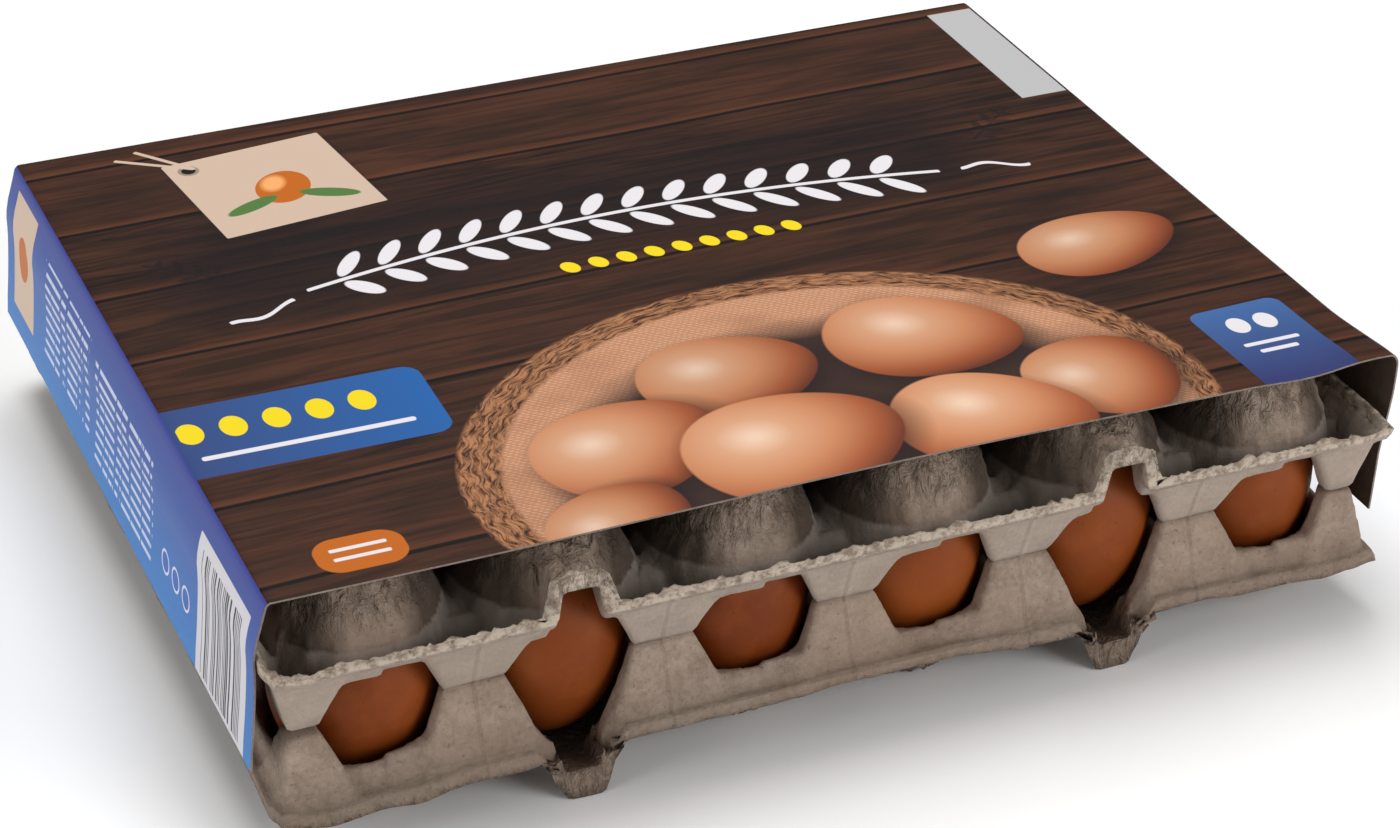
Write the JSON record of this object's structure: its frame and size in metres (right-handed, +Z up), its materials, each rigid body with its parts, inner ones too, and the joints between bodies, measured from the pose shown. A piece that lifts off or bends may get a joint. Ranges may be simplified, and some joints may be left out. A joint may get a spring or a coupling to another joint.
{
  "type": "egg carton with eggs",
  "caption": "Two moulded pulp trays face to face round rows of brown eggs, with a printed card sleeve over the top, open at front and back.",
  "frame": {"origin": "under the middle of the pack, on the surface it stands on", "axes": "+X along the long open front, +Y from the open front to the back, +Z up"},
  "size_m": [0.3036, 0.2482, 0.069],
  "materials": {
    "pulp": "rough grey moulded pulp",
    "eggshell": "matt brown eggshell with fine pores",
    "card": "thin printed card with a satin varnish"
  },
  "bodies": {
    "root": {"lower_tray": "pulp", "upper_tray": "pulp", "sleeve": "card", "egg_1_1": "eggshell", "egg_1_2": "eggshell", "egg_1_3": "eggshell", "egg_1_4": "eggshell", "egg_1_5": "eggshell", "egg_1_6": "eggshell", "egg_2_1": "eggshell", "egg_2_2": "eggshell", "egg_2_3": "eggshell", "egg_2_4": "eggshell", "egg_2_5": "eggshell", "egg_2_6": "eggshell", "egg_3_1": "eggshell", "egg_3_2": "eggshell", "egg_3_3": "eggshell", "egg_3_4": "eggshell", "egg_3_5": "eggshell", "egg_3_6": "eggshell", "egg_4_1": "eggshell", "egg_4_2": "eggshell", "egg_4_3": "eggshell", "egg_4_4": "eggshell", "egg_4_5": "eggshell", "egg_4_6": "eggshell", "egg_5_1": "eggshell", "egg_5_2": "eggshell", "egg_5_3": "eggshell", "egg_5_4": "eggshell", "egg_5_5": "eggshell", "egg_5_6": "eggshell"}
  },
  "joints": []
}
